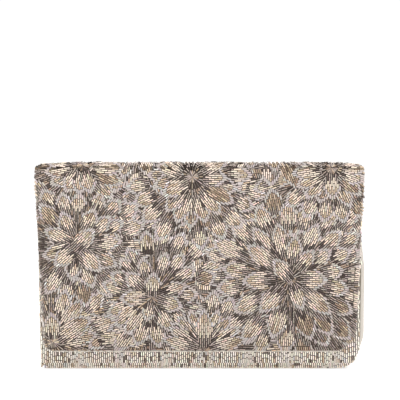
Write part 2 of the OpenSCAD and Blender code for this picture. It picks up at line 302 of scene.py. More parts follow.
FAN_FOOT = [
    (90, 3, 33, 11.5), (71, 5, 34, 11), (53, 5, 34, 10.5), (35, 5, 33, 10.5), (17, 5, 34, 10),
    (109, 5, 34, 11), (127, 5, 34, 10.5), (145, 5, 33, 10.5), (163, 5, 34, 10), (80, 30, 48, 10.5),
    (62, 30, 47, 10.5), (118, 30, 47, 10.5), (100, 30, 48, 10.5),
]
FAN_CORNER = [
    (94, 2, 23, 11.5), (33, 4, 35, 14), (10, 5, 35, 11.5), (56, 10, 40, 11.5), (76, 20, 42, 11),
    (20, 32, 52, 11.5), (44, 34, 54, 11), (5, 34, 54, 11), (66, 38, 56, 11),
]
ROSE_TOP_LEFT = [
    (237, 5, 25, 11.5), (262, 5, 23, 11), (287, 5, 23, 11), (312, 9, 35, 11.5), (211, 8, 29, 12.5),
    (190, 8, 30, 11.5), (334, 8, 34, 11.5), (356, 8, 32, 11.5),
    *[(turn, 8, 30, 12) for turn in (165, 140, 115, 90, 65, 38)], (15, 10, 34, 11),
]
ROSE_TOP_RIGHT = [
    (271, 5, 25, 11), (250, 8, 29, 11.5), (230, 8, 31, 11.5), (209, 8, 31, 11.5), (189, 8, 31, 11.5),
    (296, 8, 34, 11.5), (317, 8, 31, 11), (340, 8, 28, 11), (4, 8, 28, 11),
    *[(turn, 8, 30, 12) for turn in (30, 60, 90, 120, 150)],
    (241, 27, 44, 11), (262, 25, 43, 11), (283, 26, 44, 11), (220, 29, 46, 11), (305, 30, 48, 11),
]
# Flowers on the flap: centre x, centre v, and petals
FLAP_FLOWERS = [
    (69.6, 56, ROSE_RIGHT), (-94, 80, ROSE_LEFT), (-36, 41.5, ROSE_MIDDLE), (-5, 134, ROSE_CROWN),
    (4, 0.5, FAN_FOOT), (-111.5, 7.5, FAN_CORNER), (-89, 143, ROSE_TOP_LEFT), (101.5, 141, ROSE_TOP_RIGHT),
]
# Rings under the flap's flowers, in millimetres: petals, base, tip, width
FLAP_RINGS = [(17, 42, 62, 11.5), (22, 54, 75, 11.5), (27, 68, 88, 11.5)]
# Rings that every other flower has, as shares of its radius
RINGS = [(6, 0.02, 0.42, 0.24), (9, 0.2, 0.68, 0.24), (13, 0.46, 0.92, 0.24), (17, 0.74, 1.18, 0.24)]
# Flowers over the top and down the back: centre x, centre v from the top fold's middle, radius
BACK_FLOWERS = [
    (-48, 20, 48), (52, 26, 50), (-104, 52, 50), (108, 62, 46), (2, 74, 58), (-62, 112, 56), (66, 116, 54),
    (-116, 140, 40), (4, 146, 44), (118, 146, 40),
]

# ---- Beads: sizes and finishes ----

BEAD_R = 0.7 * MM
BEAD_L = 4.4 * MM  # in the petals
SHORT_L = 3.0 * MM  # in the plain rows of front and base
TIP_L = 3.8 * MM  # at a petal row's end
LEAST_L = 1.5 * MM
LEAST_RUN = 1.3 * MM  # a row shorter than this stays empty
ROW = 1.5 * MM
GAP = 0.5 * MM
CELL = 0.25 * MM  # of the grid on which the petals are laid
REACH = 0.2 * MM  # a row runs on this far past its last cell
SNAP_HOLE = 7.8 * MM

# How light each of a bead's six edges is, as painted shade: the two on top keep the full colour, and the rest
# are painted darker where they turn sideways and down towards the next row. The third keeps the colour along
# one edge only, so the bead is painted dark with a single painted highlight line.
PAINTED_SIDE_SHADE = (0.16, 1, 1, 0.16, 0.1, 0.1)
PAINTED_SOFT_SIDE_SHADE = (0.4, 1, 1, 0.4, 0.3, 0.3)
PAINTED_HIGHLIGHT_LINE = (0.1, 1, 0.05, 0.06, 0.06, 0.06)

# Bead finishes: colour as seen, how metallic, roughness, and the painted shade on the edges (for some, a
# single painted highlight line)
GREY = ((0.85, 0.80, 0.78), 0.4, 0.34, PAINTED_SOFT_SIDE_SHADE)
SILVER = ((0.90, 0.88, 0.86), 0.85, 0.2, PAINTED_SIDE_SHADE)
CREAM = ((0.93, 0.86, 0.79), 0.85, 0.22, PAINTED_SIDE_SHADE)
TAN = ((0.82, 0.735, 0.64), 0.85, 0.22, PAINTED_SIDE_SHADE)
BRONZE = ((0.66, 0.57, 0.49), 0.8, 0.22, PAINTED_SIDE_SHADE)
CHARCOAL = ((0.53, 0.47, 0.43), 0.9, 0.15, PAINTED_SIDE_SHADE)
# JET and LINE are darkened on all but one edge: dark glass with a single painted highlight line
JET = ((0.47, 0.40, 0.37), 0.8, 0.2, PAINTED_HIGHLIGHT_LINE)
LINE = ((0.84, 0.77, 0.725), 0.9, 0.18, PAINTED_HIGHLIGHT_LINE)
PEARL = ((1.0, 0.96, 0.91), 0.95, 0.16, PAINTED_SIDE_SHADE)
FINISHES = (GREY, SILVER, CREAM, TAN, BRONZE, CHARCOAL, JET, LINE, PEARL)


def linear(colour):
    """A colour as seen on a screen, in the linear values that shaders use."""
    c = np.asarray(colour, float)
    return np.where(c <= 0.04045, c / 12.92, ((c + 0.055) / 1.055) ** 2.4)


# ---- Petals ----

# A petal swells up to FULL of its length and tapers over the rest, TAPER, with the power POINT.
# PLUMP is how much wider it is laid than the lists say.
FULL, TAPER, POINT, PLUMP = 0.58, 0.42, 0.68, 1.18


def petal_half(u, width):
    """Half a petal's width at a share u of its length: a narrow base, a full middle and a pointed tip."""
    u = np.clip(u, 0, 1)
    swell = 0.5 + 0.5 * np.sin(QUARTER * np.clip(u / FULL, 0, 1))
    point = np.clip((1 - u) / TAPER, 0, 1) ** POINT
    return width / 2 * PLUMP * np.where(u < FULL, swell, point)


def row_end(t, width, length):
    """How far before the tip a petal's row ends, at t from its middle: petal_half() the other way round."""
    return TAPER * length * np.clip(np.abs(t) / (width / 2 * PLUMP), 0, 1) ** (1 / POINT)


def ring_petals(x, v, rings, size=1.0):
    """Petals of rings round a centre, each a little out of true."""
    petals = []
    for count, base, tip, width in rings:
        turn = rng.uniform(0, 360 / count)
        for k in range(count):
            grow = rng.uniform(0.94, 1.06) * size
            direction = turn + 360 * k / count + rng.uniform(-4, 4)
            petals.append((x, v, direction, base * size, tip * grow, width * size))
    return petals


CLAIM = 1.6  # a petal underneath goes where its own centre is this many times as far as another's


def is_own(petal):
    """Whether the middle of a petal is near enough to its own flower's centre."""
    x, v, turn, base, tip, _ = petal
    reach = (base + tip) / 2
    mx, mv = x + reach * math.cos(math.radians(turn)), v + reach * math.sin(math.radians(turn))
    return reach < CLAIM * min(math.hypot(mx - fx, mv - fv) for fx, fv, _ in FLAP_FLOWERS)


def all_petals():
    """Every petal as (x, v, direction, base, tip, width) in laying order, and how many lie underneath."""
    under, flowers = [], []
    for x, v, own in FLAP_FLOWERS:
        flowers += [(x, v, *p) for p in own]
        under += [p for p in ring_petals(x, v, FLAP_RINGS) if is_own(p)]
    for x, v, radius in BACK_FLOWERS:
        flowers += ring_petals(x, v + V_TOP / MM, RINGS, radius)
    layers = sorted(under, key=lambda p: -p[3]) + sorted(flowers, key=lambda p: -p[3])
    return np.array(layers) * [MM, MM, math.pi / 180, MM, MM, MM], len(under)


def stitch_runs(inside, s, phase, bead=BEAD_L, tip=0.0):
    """Beads end to end along one row, wherever it is inside: (middle, length, run so far, whether last)."""
    cuts = np.flatnonzero(np.diff(np.concatenate([[0], inside.astype(int), [0]])))
    pitch = bead + GAP
    found = []
    for a, b in zip(cuts[::2], cuts[1::2]):
        lo, hi = s[a] - CELL / 2 - REACH, s[b - 1] + CELL / 2 + REACH
        if hi - lo < LEAST_RUN:
            continue
        end = hi - tip if tip and hi - tip > lo + LEAST_L else hi
        first, last = math.ceil((lo - phase) / pitch), math.floor((end - phase) / pitch)
        joints = np.arange(first, last + 1) * pitch + phase
        marks = [lo, *[j for j in joints if lo + LEAST_L < j < end - LEAST_L], end]
        if end < hi:
            marks.append(hi)
        for p, q in zip(marks[:-1], marks[1:]):
            middle = (p + q) / 2
            found.append((middle, q - p - GAP, middle - lo, q == hi))
    return found


GRID_X0 = -FLAP_TOP_W / 2 - 1 * MM


def region_rows(label, value, origin, direction, span, half, tip=0.0):
    """Rows of beads over the cells of one label, along a direction: (x, v, s, t, length, run, last).

    s and t are the bead's place along and across the direction, from the origin.
    """
    ux, uv = math.cos(direction), math.sin(direction)
    s = np.arange(span[0], span[1], CELL)
    found = []
    for k in range(-int(half / ROW) - 1, int(half / ROW) + 2):
        t = k * ROW
        x, v = origin[0] + s * ux - t * uv, origin[1] + s * uv + t * ux
        i, j = ((x - GRID_X0) / CELL).astype(int), (v / CELL).astype(int)
        ok = (i >= 0) & (i < label.shape[1]) & (j >= 0) & (j < label.shape[0])
        inside = ok & (label[np.where(ok, j, 0), np.where(ok, i, 0)] == value)
        if not inside.any():
            continue
        phase = (k % 2) * (BEAD_L + GAP) / 2 + rng.uniform(-0.3, 0.3) * MM
        found += [(origin[0] + m * ux - t * uv, origin[1] + m * uv + t * ux, m, t, length, run, last)
                  for m, length, run, last in stitch_runs(inside, s, phase, tip=tip)]
    return found


def blank(v_end):
    """A grid of cells over the strip: 0 on the cloth and -1 outside its edges."""
    v = (np.arange(int(v_end / CELL)) + 0.5) * CELL
    x = GRID_X0 + (np.arange(int(2 * abs(GRID_X0) / CELL)) + 0.5) * CELL
    left, right = edges(v)
    inset = 0.1 * MM
    outside = (x[None] < left[:, None] + inset) | (x[None] > right[:, None] - inset)
    outside |= v[:, None] < 0.8 * MM
    return np.where(outside, -1, 0), x, v


def lay_petals(petals, label, gx, gv):
    """Marks each petal's cells with its number from 1 up, later petals over earlier ones."""
    for k, (x, v, direction, base, tip, width) in enumerate(petals):
        reach = tip + width
        i = np.flatnonzero(np.abs(gx - x) < reach)
        j = np.flatnonzero(np.abs(gv - v) < reach)
        if not len(i) or not len(j):
            continue
        dx, dv = gx[i][None] - x, gv[j][:, None] - v
        s = dx * math.cos(direction) + dv * math.sin(direction)
        t = -dx * math.sin(direction) + dv * math.cos(direction)
        here = (s > base) & (s < tip) & (np.abs(t) < petal_half((s - base) / (tip - base), width))
        block = label[j[0]:j[-1] + 1, i[0]:i[-1] + 1]
        block[here & (block >= 0)] = k + 1


INNER_TIP = 42 * MM  # petals whose tips are nearer to the flower's centre than this have darker bases
CROWN_V = 132 * MM  # flowers centred above this have paler bases
UPPER_V = 95 * MM  # petals above this are browner


def in_light_corner(x, v):
    """Whether a place is in the flap's lower left, where the embroidery is lighter."""
    return x < -40 * MM and v < 42 * MM


def in_dark_corner(petal):
    """Whether a petal is one of the large brown ones in the flap's lower right."""
    x, v, direction, _, tip, _ = petal
    return x > 60 * MM and v < 80 * MM and tip > 45 * MM and 275 < math.degrees(direction) < 340


def petal_tone(petal, underneath):
    """A petal's look: how creamy (1) or brown (0), its dark base's share, and how far beads come out dark."""
    x, v, direction, base, tip, _ = petal
    creamy = rng.uniform(0.06 if tip < INNER_TIP else 0.0, 1.0)
    dark = 0.14 if underneath or v > CROWN_V else 0.24 if tip < INNER_TIP else 0.18
    reach = (base + tip) / 2
    mx, mv = x + reach * math.cos(direction), v + reach * math.sin(direction)
    if UPPER_V < mv < START["front_fold"]:
        creamy *= 0.4
    shade = (2.5 + 2.5 * creamy) * MM
    if in_light_corner(mx, mv):
        dark, shade = 0.1, 1.6 * MM
    if in_dark_corner(petal):
        creamy, shade = 0.0, 7.5 * MM
    return creamy, dark, shade


def petal_finish(u, ends_row, hidden, creamy, dark):
    """A petal bead's finish: dark with a painted highlight line at the base, gold within, grey where its row
    ends.
    """
    roll = rng.random()
    if ends_row:
        return GREY if rng.random() < 0.95 else SILVER
    if u < dark + 0.12 * roll or hidden:
        return JET if rng.random() < 0.16 else LINE
    if creamy < 0.05:
        return TAN if roll < 0.4 else BRONZE
    if u < 0.5 + 0.3 * creamy:
        return CREAM if roll < 0.92 else TAN
    return TAN if roll < 0.7 else CREAM if roll < 0.92 else BRONZE


def petal_beads(label, number, petal, underneath):
    """The beads of one petal, as (x, v, direction, length, finish)."""
    x, v, direction, base, tip, width = petal
    creamy, dark, shade = petal_tone(petal, underneath)
    beads = []
    rows = region_rows(label, number, (x, v), direction, (base, tip), width * 0.6, TIP_L)
    for bx, bv, s, t, length, run, last in rows:
        u = (s - base) / (tip - base)
        ends_row = last and tip - s - length / 2 - row_end(t, width, tip - base) < 1.5 * MM
        hidden = run < shade and 0.15 < u < 0.6
        finish = petal_finish(u, ends_row, hidden, creamy, dark)
        beads.append((bx, bv, direction, length, FINISHES.index(finish)))
    return beads


def embroider(v_end):
    """The flowers: beads as rows of (x, v, direction, length, finish)."""
    label, gx, gv = blank(v_end)
    petals, under = all_petals()
    lay_petals(petals, label, gx, gv)
    beads = []
    for k, petal in enumerate(petals):
        beads += petal_beads(label, k + 1, petal, k < under)
    beads += ground(label, gx, gv, petals)
    return np.array(beads)


SECTORS = 20


def ground(label, gx, gv, petals):
    """Beads on the cloth between the petals, which run away from the nearest flower's centre."""
    centres = np.unique(petals[:, :2], axis=0)
    jj, ii = np.nonzero(label == 0)
    dx, dv = gx[ii][:, None] - centres[:, 0], gv[jj][:, None] - centres[:, 1]
    near = np.argmin(dx**2 + dv**2, axis=1)
    pick = np.arange(len(ii))
    turn = np.arctan2(dv[pick, near], dx[pick, near]) / (2 * math.pi)
    first = len(petals) + 1
    label[jj, ii] = first + near * SECTORS + (turn * SECTORS).round().astype(int) % SECTORS
    beads = []
    for value in np.unique(label[jj, ii]):
        c, k = divmod(value - first, SECTORS)
        own = label[jj, ii] == value
        d = np.hypot(dx[own, c], dv[own, c])
        direction = 2 * math.pi * k / SECTORS
        span, half = (d.min() - CELL, d.max() + CELL), d.max() * 0.17 + ROW
        for bx, bv, _, _, length, _, _ in region_rows(label, value, centres[c], direction, span, half):
            lighter = bv > START["front_fold"] or in_light_corner(bx, bv)
            finish = (TAN if lighter else JET, CHARCOAL, LINE, LINE, LINE, BRONZE)[rng.integers(6)]
            beads.append((bx, bv, direction, length, FINISHES.index(finish)))
    return beads


def columns(v0, v1):
    """Plain rows of mixed beads that run up the strip from v0 to v1."""
    s = np.arange(v0, v1, CELL)
    left, right = edges(s)
    mix = [FINISHES.index(f) for f in (PEARL,) * 12 + (CREAM,) * 3 + (SILVER, TAN, CHARCOAL)]
    beads = []
    snap_z = (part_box("snap_socket")[0][2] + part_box("snap_socket")[1][2]) / 2
    snap_v = START["front"] + snap_z - BASE_R
    for x in np.arange(left.min() + 0.7 * MM, right.max() - 0.5 * MM, ROW):
        inside = (x > left + 0.3 * MM) & (x < right - 0.3 * MM)
        inside &= np.hypot(x, s - snap_v) > SNAP_HOLE
        phase = rng.uniform(0, BEAD_L)
        for m, length, _, _ in stitch_runs(inside, s, phase, SHORT_L):
            beads.append((x, m, QUARTER, length, mix[rng.integers(len(mix))]))
    return np.array(beads)


# The six edges of a bead, as turns round it: the flat that faces outwards is the widest
RING = 6
RING_TURNS = np.radians([0, 50, 130, 180, 230, 310])


def tubes(name, ends, up, radius, roll=0.0, smooth=True):
    """One mesh of closed six-sided tubes between pairs of ends, one flat turned towards up but for a roll."""
    n = len(up)
    axis = unit(ends[1] - ends[0])
    side = unit(np.cross(axis, up))
    rise = np.cross(side, axis)
    turn = (RING_TURNS + rng.normal(0, roll, n)[:, None])[..., None]
    ring = side[:, None] * np.cos(turn) + rise[:, None] * np.sin(turn)
    ring = ring * np.broadcast_to(radius, n)[:, None, None]
    verts = np.concatenate([ends[0][:, None] + ring, ends[1][:, None] + ring], 1).reshape(-1, 3)
    k = np.arange(RING)
    nxt = (k + 1) % RING
    quads = np.stack([k, nxt, nxt + RING, k + RING], -1).reshape(-1)
    one = np.concatenate([quads, k[::-1], k + RING])
    loops = ((np.arange(n) * 2 * RING)[:, None] + one).ravel()
    sizes = np.tile([4] * RING + [RING] * 2, n)
    starts = np.concatenate([[0], np.cumsum(sizes)[:-1]])
    mesh = bpy.data.meshes.new(name)
    mesh.vertices.add(len(verts))
    mesh.vertices.foreach_set("co", verts.astype(np.float32).ravel())
    mesh.loops.add(len(loops))
    mesh.loops.foreach_set("vertex_index", loops.astype(np.int32))
    mesh.polygons.add(len(sizes))
    mesh.polygons.foreach_set("loop_start", starts.astype(np.int32))
    mesh.polygons.foreach_set("use_smooth", np.tile([smooth] * RING + [False] * 2, n))
    mesh.update(calc_edges=True)
    return link(bpy.data.objects.new(name, mesh))


# Some beads near the strip's edges are loose, and some near the middle of the top fold stand up
EDGE_BAND, LOOSE_SHARE = 2 * MM, 0.4
FOLD_BAND, RAISED_SHARE = 14 * MM, 0.22


def bead_piece(name, beads):
    """Beads as closed tubes, each laid on the cloth between its two ends; a few at the edges are loose."""
    x, v, direction, length = beads[:, :4].T.copy()
    n = len(beads)
    left, right = edges(v)
    loose = (np.minimum(x - left, right - x) < EDGE_BAND) & (rng.random(n) < LOOSE_SHARE)
    x += np.where(loose, np.where(x < 0, -1, 1) * rng.uniform(0.1, 0.7, n) * MM, 0)
    direction += np.where(loose, rng.normal(0, 0.3, n), 0)
    raised = (np.abs(v - V_TOP) < FOLD_BAND) & (rng.random(n) < RAISED_SHARE)
    lift = rng.uniform(-0.06, 0.14, n) * MM + np.where(raised, rng.uniform(0.1, 0.6, n), 0) * MM
    direction = direction + rng.normal(0, math.radians(1.0), n)
    half = length[:, None] / 2
    dx, dv = (np.stack([np.cos(direction), np.sin(direction)], -1) * half).T
    laid = [
        strip(x + sign * dx, np.clip(v + sign * dv, 0, STRIP_L), BEAD_T - BEAD_R - lift)[0]
        for sign in (-1, 1)
    ]
    middle, axis = (laid[0] + laid[1]) / 2, unit(laid[1] - laid[0])
    ends, radius = [middle - axis * half, middle + axis * half], BEAD_R * rng.uniform(0.92, 1.05, n)
    obj = tubes(name, ends, strip(x, v)[1], radius, roll=0.07, smooth=False)
    tint_beads(obj.data, beads[:, 4].astype(int), n)
    unwrap_beads(obj.data, n)
    return obj


def tint_beads(mesh, which, n):
    """Each bead's colour and gloss as vertex colours; the colour is multiplied by painted shade on each edge,
    and on some beads this leaves a single painted highlight line.
    """
    shade = rng.normal(1, 0.06, (n, 1)).clip(0.8, 1.2) * (1 + rng.normal(0, 0.025, (n, 3)))
    colours = linear([f[0] for f in FINISHES])[which] * shade
    gloss = np.array([f[1:3] for f in FINISHES])[which]
    painted_edge_shade = np.array([f[3] for f in FINISHES])[which]
    gloss[:, 1] += rng.uniform(-0.04, 0.06, n)
    gloss = np.c_[gloss, np.zeros(n)]
    for name, values, depth in (("tint_with_painted_shade", colours, painted_edge_shade), ("gloss", gloss, np.ones_like(painted_edge_shade))):
        layer = mesh.color_attributes.new(name, "FLOAT_COLOR", "POINT")
        rgba = np.repeat(np.c_[values, np.ones(n)], 2 * RING, 0).reshape(n, 2, RING, 4)
        # Painted shade: the colour is darkened on each bead's side and lower edges, and on all but one edge
        # for the beads with a painted highlight line
        rgba[..., :3] *= depth[:, None, :, None]
        layer.data.foreach_set("color", rgba.astype(np.float32).ravel())


def unwrap_beads(mesh, n):
    """A UV square of its own for each bead, so that a baked image keeps the beads apart."""
    across = math.ceil(math.sqrt(n))
    cell = np.stack([np.arange(n) % across, np.arange(n) // across], -1) / across
    k = np.arange(RING)
    low, high = 0.15, 0.85
    side_u = np.stack([k, k + 1, k + 1, k], -1) / RING * 0.7 + low
    side_v = np.tile([low, low, high, high], (RING, 1))
    cap = k / RING * 0.7 + low
    local = np.concatenate([
        np.stack([side_u, side_v], -1).reshape(-1, 2),
        np.stack([cap[::-1], np.full(RING, low)], -1),
        np.stack([cap, np.full(RING, high)], -1),
    ])
    layer = mesh.uv_layers.new(name="OFBake")
    layer.data.foreach_set("uv", (cell[:, None] + local / across).astype(np.float32).ravel())


# ---- Padding: a short cloth simulation of the whole strip ----

# The most that padding may lift each stretch's cloth: the front panel has the flap's lining close before it
MOST = {"flap": 1.3, "front_fold": 0.5, "top": 0.4, "back_fold": 0.5, "back": 1.8, "front": 0.35}
LONG, EASE = 50 * MM, 12 * MM  # a stretch longer than LONG swells up over EASE at each end
SWELL_FRAMES = 20


def most_lift(rows):
    """The most that padding may lift the cloth at each row of v."""
    most = np.zeros(len(rows))
    for name, size, *_ in PATH:
        w = np.clip((rows - START[name]) / size, 0, 1)
        on = (rows >= START[name]) & (rows <= START[name] + size)
        most[on] = MOST.get(name, 0) * MM
        if size > LONG:
            most[on] *= np.clip(np.minimum(w, 1 - w)[on] * size / EASE, 0, 1) ** 0.5
    return most


def plump():
    """Swells the strip's cloth by pressure from its padding: rows of v, and the lift over each row."""
    rows = np.linspace(0, STRIP_L, 97)
    u = np.linspace(0, 1, 49)
    x, v = spread(rows, u)
    most = most_lift(rows)
    rest, normal = strip(x, v, BEAD_T, padded=False)
    at = np.arange(x.size).reshape(x.shape)
    obj = add_object("plump", rest.reshape(-1, 3), grid_faces(at).tolist())
    held = obj.vertex_groups.new(name="held")
    fixed = (most[:, None] < 0.1 * MM) | (u[None] < 0.01) | (u[None] > 0.99)
    held.add(at[fixed].tolist(), 1.0, "REPLACE")
    cloth = obj.modifiers.new("cloth", "CLOTH")
    settings = {
        "quality": 6, "mass": 0.3, "tension_stiffness": 12, "compression_stiffness": 12,
        "bending_stiffness": 0.4, "shrink_min": -0.012, "vertex_group_mass": "held",
        "use_pressure": True, "uniform_pressure_force": 3,
    }
    for key, value in settings.items():
        setattr(cloth.settings, key, value)
    cloth.settings.effector_weights.gravity = 0
    scene = bpy.context.scene
    cloth.point_cache.frame_start, cloth.point_cache.frame_end = 1, SWELL_FRAMES
    for frame_number in range(1, SWELL_FRAMES + 1):
        scene.frame_set(frame_number)
    done = obj.evaluated_get(bpy.context.evaluated_depsgraph_get())
    now = np.array([p.co for p in done.data.vertices]).reshape(rest.shape)
    raw = np.maximum(((now - rest) * normal).sum(-1), 0)
    scene.frame_set(1)
    bpy.data.objects.remove(obj)
    cap = np.maximum(most, 1e-6)[:, None]
    return rows, cap * np.tanh(raw / cap) * (most[:, None] > 0)


def smooth_step(share):
    """From 0 to 1 with a soft start and end."""
    share = np.clip(share, 0, 1)
    return share * share * (3 - 2 * share)


def ripple(v, x):
    """Slight unevenness, as in cloth that is sewn by hand."""
    a = np.sin(x * 61 + 1.3) * np.sin(v * 47 + 0.4) + 0.6 * np.sin(x * 113 - v * 71 + 2.0)
    return a * 0.11 * MM


# ---- Materials ----

class Maker:
    """Builds one node material around a Principled shader."""

    def __init__(self, name):
        self.material = bpy.data.materials.new(name)
        self.material.use_nodes = True
        self.tree = self.material.node_tree
        self.tree.nodes.clear()
        self.shader = self.add("ShaderNodeBsdfPrincipled")
        self.plug(self.shader.outputs[0], self.add("ShaderNodeOutputMaterial").inputs["Surface"])
        self.place = self.add("ShaderNodeTexCoord").outputs["Object"]

    def add(self, kind, sockets=(), **props):
        """A node with its properties, and with values or links for the sockets named."""
        node = self.tree.nodes.new(kind)
        for key, value in props.items():
            setattr(node, key, value)
        for key, value in dict(sockets).items():
            self.plug(value, node.inputs[key])
        return node

    def plug(self, value, socket):
        if isinstance(value, bpy.types.NodeSocket):
            self.tree.links.new(value, socket)
        else:
            socket.default_value = value

    def set(self, **inputs):
        for key, value in inputs.items():
            self.plug(value, self.shader.inputs[key.replace("_", " ")])

    def math(self, operation, a, b):
        return self.add("ShaderNodeMath", {0: a, 1: b}, operation=operation).outputs[0]

    def noise(self, scale, detail=3.0, rough=0.5):
        sockets = {"Scale": scale, "Detail": detail, "Roughness": rough, "Vector": self.place}
        return self.add("ShaderNodeTexNoise", sockets).outputs[0]

    def wave(self, scale, direction, distortion):
        sockets = {"Scale": scale, "Distortion": distortion, "Detail": 1.0, "Vector": self.place}
        return self.add("ShaderNodeTexWave", sockets, bands_direction=direction).outputs["Fac"]

    def attribute(self, name, output="Color"):
        return self.add("ShaderNodeAttribute", attribute_name=name).outputs[output]

    def ramp(self, factor, low_at, low, high_at, high):
        node = self.add("ShaderNodeValToRGB", {0: factor})
        for stop, place, colour in zip(node.color_ramp.elements, (low_at, high_at), (low, high)):
            stop.position = place
            stop.color = (*linear(colour), 1)
        return node.outputs[0]

    def span(self, factor, low, high, start=0.0, end=1.0):
        """Carries a factor from start to end over to low to high."""
        sockets = {"Value": factor, "From Min": start, "From Max": end, "To Min": low, "To Max": high}
        return self.add("ShaderNodeMapRange", sockets).outputs[0]

    def mix(self, factor, a, b):
        return self.add("ShaderNodeMix", {0: factor, 6: a, 7: b}, data_type="RGBA").outputs[2]

    def bump(self, height, strength, distance):
        node = self.add("ShaderNodeBump", {"Strength": strength, "Distance": distance, "Height": height})
        self.set(Normal=node.outputs[0])


def bead_material():
    """Faceted glass bugles with a metal lining: colour, with its painted edge shade and highlight line, and
    gloss are each bead's own.
    """
    m = Maker("bugle_beads")
    tint_with_painted_shade = m.attribute("tint_with_painted_shade")
    gloss = m.add("ShaderNodeSeparateColor", {0: m.attribute("gloss")}).outputs
    fine, soft = m.noise(2600, 2), m.noise(240, 2)
    m.set(Base_Color=m.mix(m.span(fine, 0.0, 0.3), tint_with_painted_shade, m.mix(0.5, tint_with_painted_shade, (0.1, 0.08, 0.07, 1))))
    m.set(Metallic=gloss[0], Coat_Weight=0.5, Coat_Roughness=0.1)
    m.set(Roughness=m.math("ADD", gloss[1], m.span(soft, -0.03, 0.05)))
    m.bump(fine, 0.25, 0.05 * MM)
    return m.material


def weave_material(name, low, high, pitch, relief, rim=None):
    """Woven cloth: threads both ways, slubs and a soft sheen, and at its cut edges perhaps a lighter tape."""
    m = Maker(name)
    turns = 0.5 / pitch
    across = m.math("ADD", m.wave(turns, "X", 0.6), m.math("MULTIPLY", m.wave(turns, "Z", 0.6), 0.8))
    threads = m.math("ADD", across, m.math("MULTIPLY", m.wave(turns, "Y", 0.6), 0.5))
    slub = m.noise(90, 4, 0.6)
    tone = m.math("ADD", m.math("MULTIPLY", threads, 0.22), m.math("MULTIPLY", slub, 0.6))
    colour = m.ramp(tone, 0.25, low, 0.75, high)
    if rim:
        colour = m.mix(m.attribute("rim", "Fac"), colour, m.ramp(tone, 0.25, rim[0], 0.75, rim[1]))
    m.set(Base_Color=colour, Roughness=m.span(slub, 0.45, 0.62), Sheen_Weight=0.3, Sheen_Roughness=0.4)
    m.bump(threads, 0.6, relief)
    return m.material


def satin_material(name, low, high, across="X"):
    """Satin: long shining threads along the purse's height, side by side along the axis named by across."""
    m = Maker(name)
    threads = m.wave(1900, across, 0.5)
    cross = m.wave(760, "Z", 0.8)
    cloud = m.noise(60)
    tone = m.math("ADD", m.math("MULTIPLY", cloud, 0.4), m.math("MULTIPLY", threads, 0.6))
    m.set(Base_Color=m.ramp(tone, 0.1, low, 0.9, high), Roughness=m.span(cloud, 0.3, 0.46))
    m.set(Sheen_Weight=0.25, Sheen_Roughness=0.3, Anisotropic=0.5)
    m.bump(m.math("ADD", m.math("MULTIPLY", cross, 0.5), threads), 0.35, 0.03 * MM)
    return m.material


def grained_material(name, low, high, rough, bump, metallic, grain, cloud=None):
    """A plain material with a fine grain, whose colour follows the grain or a larger cloud."""
    m = Maker(name)
    marks = m.noise(*grain)
    m.set(Base_Color=m.ramp(m.noise(cloud) if cloud else marks, 0.3, low, 0.7, high))
    m.set(Metallic=metallic, Roughness=m.span(marks, *rough))
    m.bump(marks, *bump)
    return m.material


# ---- Pieces ----

# Pieces over the top fold bend between two bodies: the bodies, and where the bend starts and ends
FLAP_BEND = ("top_fold", "flap", (0, -FOLD_Y, TOP_Z), (0, FLAP_Y, FOLD_Z))
BACK_BEND = ("body", "top_fold", (0, BACK_Y, FOLD_Z), (0, FOLD_Y, TOP_Z))


def paint(obj, material):
    obj.data.materials.clear()
    obj.data.materials.append(material)


def settle(obj, material, slot, where, *nodes):
    """Finishes a piece: its material, its body or bend, and the CAD nodes it stands for; the slot argument is
    not used.
    """
    paint(obj, material)
    if isinstance(where, str):
        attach(obj, where)
    else:
        a, b, start, end = where
        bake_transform(obj, a, b, start=start, end=end)
    if nodes:
        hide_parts(*nodes)


def stiffen_beads(obj):
    """Gives all points of a bead one weight in a bend, so that glass doesn't bend."""
    weights = obj.data.attributes["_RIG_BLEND"].data
    w = np.empty(len(weights), np.float32)
    weights.foreach_get("value", w)
    w = np.repeat(w.reshape(-1, 2 * RING).mean(1), 2 * RING)
    weights.foreach_set("value", w.astype(np.float32))


def make_beads():
    """The flowers on flap and back, and the plain rows of base and front."""
    glass = bead_material()
    flowers = embroider(START["back_foot"])
    on_flap = flowers[:, 1] < V_TOP
    flap = bead_piece("flap_beadwork", flowers[on_flap])
    back = bead_piece("back_beadwork", flowers[~on_flap])
    base = bead_piece("base_beadwork", columns(START["back_foot"] + 0.2 * MM, START["front"] + 0.1 * MM))
    front = bead_piece("front_beadwork", columns(START["front"] + 0.3 * MM, STRIP_L - 0.3 * MM))
    settle(flap, glass, "beads", FLAP_BEND, "flap_beads", "top_beads")
    settle(back, glass, "beads", BACK_BEND, "back_beads")
    settle(base, glass, "beads", "body", "base_beads")
    settle(front, glass, "beads", "front", "front_beads")
    stiffen_beads(flap)
    stiffen_beads(back)


RIM_W, DRAWN_W = 0.9 * MM, 4 * MM  # how wide a pad's lighter tape is, and its edge that is drawn down
LINING_INSET = 1 * MM
LINING_COLOURS = ((0.70, 0.65, 0.58), (0.82, 0.78, 0.71))


def pad(name, v0, v1, inset, thick):
    """A pad of beaded cloth over foam, whose edges are drawn down to the panel behind."""
    x, v = grid(v0, v1, inset)
    left, right = edges(v)
    near = np.minimum(np.minimum(x - left, right - x) - inset, DRAWN_W)
    drawn = 0.35 * MM * (1 - near / DRAWN_W) ** 2
    outer, normal = strip(x, v, BEAD_T)
    outer = outer - normal * (drawn - 0.5 * ripple(v, x) * (near > 0))[..., None]
    obj = shell(name, outer, strip(x, v, BEAD_T + thick, padded=False)[0])
    rim = np.clip(1 - near / RIM_W, 0, 1).ravel()
    layer = obj.data.attributes.new("rim", "FLOAT", "POINT")
    layer.data.foreach_set("value", np.concatenate([rim, rim]).astype(np.float32))
    return obj


